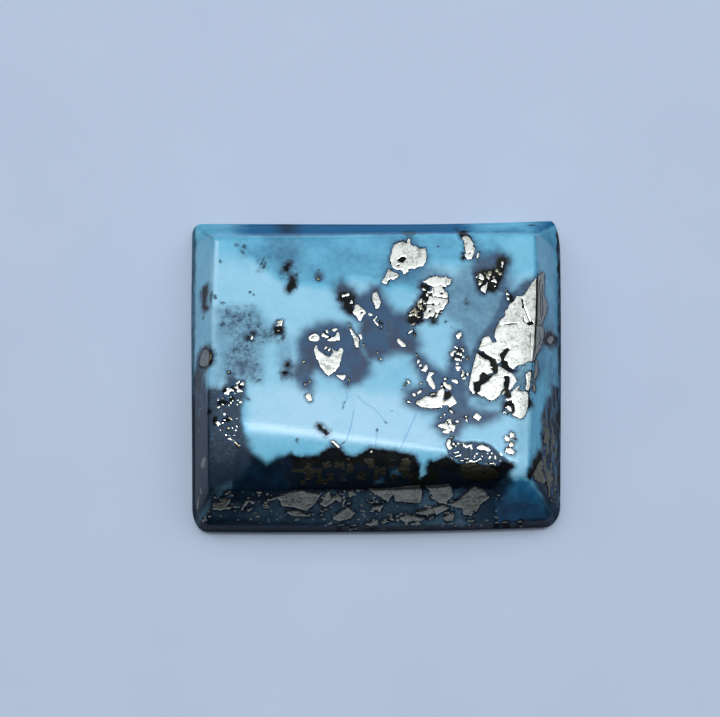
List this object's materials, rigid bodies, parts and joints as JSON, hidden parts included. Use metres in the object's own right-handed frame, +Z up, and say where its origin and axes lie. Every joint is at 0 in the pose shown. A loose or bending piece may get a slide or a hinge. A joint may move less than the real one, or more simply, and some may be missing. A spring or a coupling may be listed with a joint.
{
  "type": "turquoise cabochon",
  "caption": "Rectangular polished turquoise cabochon with pyrite inclusions and dark matrix: a flat base to rest on, bevels all round and a low-domed table.",
  "frame": {"origin": "middle of the bottom of the bounding box, on the flat base", "axes": "+Z up out of the table, +X along the longer side, -Y toward the front side, where the table rolls over most"},
  "size_m": [0.0202, 0.0178, 0.0037],
  "materials": {
    "turquoise": "polished turquoise with dark matrix",
    "pyrite": "polished metallic pyrite, set flush in the turquoise"
  },
  "bodies": {
    "root": {"turquoise_stone": "turquoise"}
  },
  "joints": []
}
